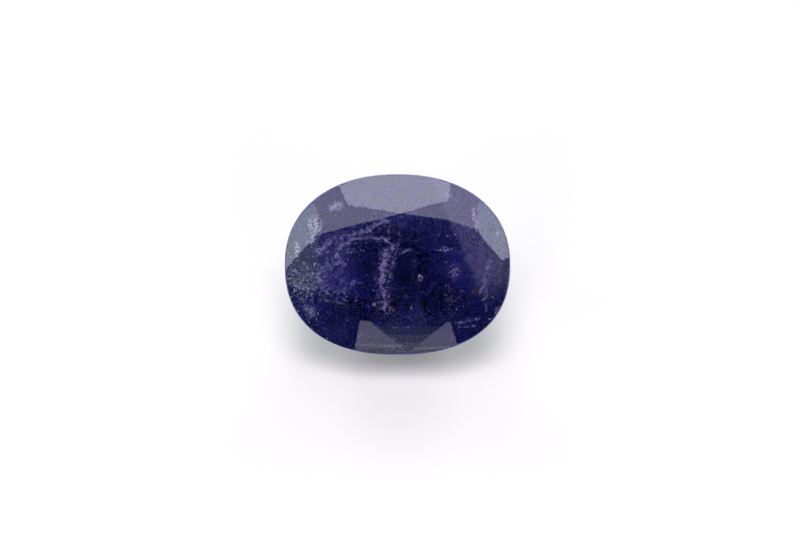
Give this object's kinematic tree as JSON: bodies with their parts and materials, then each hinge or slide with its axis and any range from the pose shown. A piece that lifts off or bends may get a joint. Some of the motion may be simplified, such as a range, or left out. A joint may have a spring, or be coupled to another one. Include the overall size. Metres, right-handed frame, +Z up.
{
  "type": "iolite gemstone",
  "caption": "Oval faceted iolite gemstone, violet-blue and included, with a broad table, faceted crown, frosted girdle and bulging pavilion, lying on a pavilion facet.",
  "frame": {"origin": "middle of the bounding box, on the surface that the stone lies on", "axes": "+X along the stone's length, +Z up; the stone lies on a pavilion facet, and the table leans 40 degrees from level towards -Y"},
  "size_m": [0.01, 0.0066, 0.0062],
  "materials": {
    "iolite": "polished facets on see-through violet-blue crystal with veils and specks inside, frosted girdle"
  },
  "bodies": {
    "root": {"iolite_gem": "iolite"}
  },
  "joints": []
}
